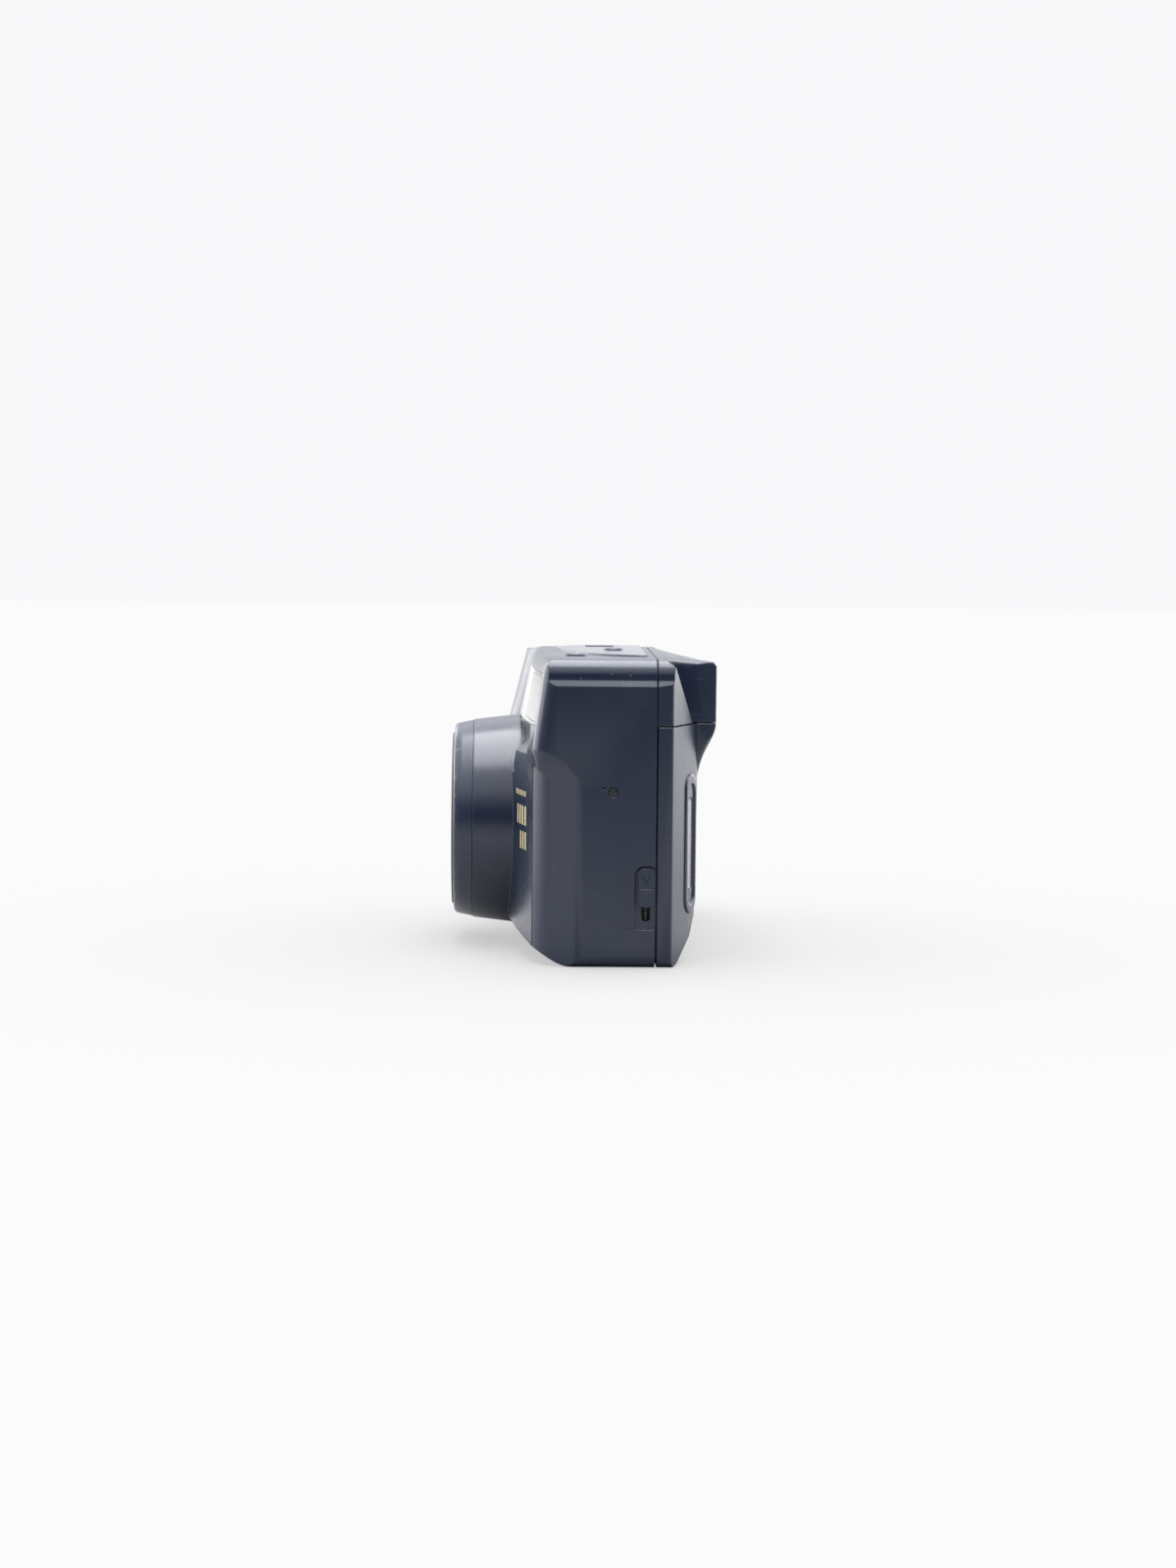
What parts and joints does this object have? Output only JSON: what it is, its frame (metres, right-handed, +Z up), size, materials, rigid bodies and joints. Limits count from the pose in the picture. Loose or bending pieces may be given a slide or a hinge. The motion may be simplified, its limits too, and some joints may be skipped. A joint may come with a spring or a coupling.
{
  "type": "compact film camera",
  "caption": "Compact zoom film camera with a two-stage retracting lens, hinged back door, side door latch, grip-end battery and eyepiece hump.",
  "frame": {"origin": "centre of the tripod socket's mouth, on the flat base", "axes": "+Z up, -Y the way the lens looks, +X the viewer's left"},
  "size_m": [0.1306, 0.0647, 0.0738],
  "materials": {
    "body_plastic": "satin",
    "ring_plastic": "satin",
    "panel_gloss": "gloss",
    "frame_grey": "satin",
    "clear_window": "polished",
    "flash_diffuser": "ribbed clear",
    "flash_glass": "polished",
    "mirror_metal": "polished",
    "black_plastic": "matte",
    "blade_metal": "satin",
    "gear_plastic": "satin",
    "steel": "satin",
    "plate_metal": "semi-matte",
    "contact_gold": "plated",
    "socket_brass": "nickelled",
    "foam": "open-cell foam",
    "cell_sleeve": "satin sleeve",
    "board": "satin",
    "switch": "satin",
    "capacitor_sleeve": "shrink sleeve"
  },
  "bodies": {
    "camera_body": {"front_cover": "body_plastic", "rear_cover": "body_plastic", "hinge_pin": "steel", "latch_spring": "steel", "window_panel": "panel_gloss", "flash_window": "flash_diffuser", "finder_window": "clear_window", "shroud_ring": "ring_plastic", "top_panel": "panel_gloss", "display_window": "clear_window", "eyepiece_frame": "panel_gloss", "eyepiece_lens": "clear_window", "button_switches": "switch", "lens_tube_front": "black_plastic", "lens_tube_rear": "black_plastic", "zoom_motor": "steel", "film_chassis": "black_plastic", "dx_contacts": "contact_gold", "transport_motor": "steel", "light_seals": "foam", "battery": "cell_sleeve", "battery_cap": "black_plastic", "battery_door_pin": "steel", "tripod_socket": "socket_brass", "main_board": "board", "flash_capacitor": "capacitor_sleeve", "flash_reflector": "mirror_metal", "flash_tube": "flash_glass", "finder_body": "black_plastic", "finder_objective": "clear_window", "focus_sensor": "black_plastic", "strap_bar": "steel", "side_screw": "steel", "cover_screws": "steel", "lens_screws": "steel"},
    "back_door": {"back_door": "body_plastic", "film_window_frame": "frame_grey", "film_window": "clear_window"},
    "pressure_plate": {"pressure_plate": "plate_metal", "pressure_spring": "steel"},
    "door_latch": {"door_latch": "ring_plastic"},
    "outer_barrel": {"outer_barrel": "ring_plastic"},
    "inner_barrel": {"inner_barrel": "ring_plastic", "barrier_base": "black_plastic", "front_lens_cell": "black_plastic", "front_lens": "clear_window", "shutter_unit": "black_plastic", "rear_lens": "clear_window"},
    "barrier_blade_upper": {"barrier_blade_upper": "blade_metal"},
    "barrier_blade_lower": {"barrier_blade_lower": "blade_metal"},
    "drive_ring": {"drive_ring": "gear_plastic"},
    "zoom_pinion": {"zoom_pinion": "gear_plastic"},
    "shutter_button": {"shutter_button": "ring_plastic"},
    "zoom_lever": {"zoom_lever": "ring_plastic"},
    "flash_button": {"flash_button": "ring_plastic"},
    "power_button": {"power_button": "ring_plastic"},
    "take_up_spool": {"take_up_spool": "black_plastic"},
    "film_sprocket": {"film_sprocket": "black_plastic"},
    "rewind_fork": {"rewind_fork": "black_plastic"},
    "battery_door": {"battery_door": "body_plastic"}
  },
  "joints": [
    {"name": "back_door_hinge", "type": "hinge", "parent": "camera_body", "child": "back_door", "pos_m": [-0.06, 0.0192, 0.028], "axis": [0, 0, 1], "range_deg": [0, 100]},
    {"name": "pressure_plate_slide", "type": "slide", "parent": "back_door", "child": "pressure_plate", "axis": [0, 1, 0], "range_m": [0, 0.0004], "stiffness_N_per_m": 300, "springref_m": -0.003},
    {"name": "door_latch_slide", "type": "slide", "parent": "camera_body", "child": "door_latch", "axis": [0, 0, -1], "range_m": [0, 0.005], "stiffness_N_per_m": 150, "springref_m": -0.004, "deforming": ["latch_spring"]},
    {"name": "zoom_extend", "type": "slide", "parent": "camera_body", "child": "outer_barrel", "axis": [0, -1, 0], "range_m": [0, 0.022]},
    {"name": "zoom_extend_inner", "type": "slide", "parent": "outer_barrel", "child": "inner_barrel", "axis": [0, -1, 0], "range_m": [0, 0.0181]},
    {"name": "drive_ring_turn", "type": "hinge", "parent": "camera_body", "child": "drive_ring", "pos_m": [0, -0.0114, 0.0303], "axis": [0, 1, 0], "range_deg": [0, 121]},
    {"name": "zoom_pinion_turn", "type": "hinge", "parent": "camera_body", "child": "zoom_pinion", "pos_m": [0.0203, -0.0114, 0.0481], "axis": [0, 1, 0], "range_deg": [-968, 0]},
    {"name": "barrier_upper_swing", "type": "hinge", "parent": "inner_barrel", "child": "barrier_blade_upper", "pos_m": [0.0135, -0.0339, 0.0303], "axis": [0, 1, 0], "range_deg": [0, 38]},
    {"name": "barrier_lower_swing", "type": "hinge", "parent": "inner_barrel", "child": "barrier_blade_lower", "pos_m": [-0.0135, -0.0339, 0.0303], "axis": [0, 1, 0], "range_deg": [0, 38]},
    {"name": "shutter_button_press", "type": "slide", "parent": "camera_body", "child": "shutter_button", "axis": [0, 0, -1], "range_m": [0, 0.0008], "stiffness_N_per_m": 800, "springref_m": -0.001},
    {"name": "zoom_lever_turn", "type": "hinge", "parent": "camera_body", "child": "zoom_lever", "pos_m": [-0.052, -0.001, 0.0697], "axis": [0, 0, 1], "range_deg": [-14, 14], "stiffness_Nm_per_rad": 0.02},
    {"name": "flash_button_press", "type": "slide", "parent": "camera_body", "child": "flash_button", "axis": [0, 0, -1], "range_m": [0, 0.0006], "stiffness_N_per_m": 800, "springref_m": -0.001},
    {"name": "power_button_press", "type": "slide", "parent": "camera_body", "child": "power_button", "axis": [0, 0, -1], "range_m": [0, 0.0006], "stiffness_N_per_m": 800, "springref_m": -0.001},
    {"name": "take_up_spool_turn", "type": "hinge", "parent": "camera_body", "child": "take_up_spool", "pos_m": [-0.0415, 0.002, 0.0303], "axis": [0, 0, 1], "continuous": true},
    {"name": "film_sprocket_turn", "type": "hinge", "parent": "camera_body", "child": "film_sprocket", "pos_m": [-0.0249, 0.0064, 0.0303], "axis": [0, 0, 1], "continuous": true},
    {"name": "rewind_fork_turn", "type": "hinge", "parent": "camera_body", "child": "rewind_fork", "pos_m": [0.0412, 0.0046, 0.006], "axis": [0, 0, 1], "continuous": true},
    {"name": "battery_door_hinge", "type": "hinge", "parent": "camera_body", "child": "battery_door", "pos_m": [-0.0505, -0.0015, 0.00115], "axis": [0, -1, 0], "range_deg": [0, 95]}
  ],
  "couplings": [
    {"joint": "zoom_extend_inner", "follows": "zoom_extend", "ratio": 0.81818},
    {"joint": "drive_ring_turn", "follows": "zoom_extend", "rad_per_m": 95.2},
    {"joint": "zoom_pinion_turn", "follows": "zoom_extend", "rad_per_m": -761.6},
    {"joint": "barrier_lower_swing", "follows": "barrier_upper_swing", "ratio": 1}
  ]
}
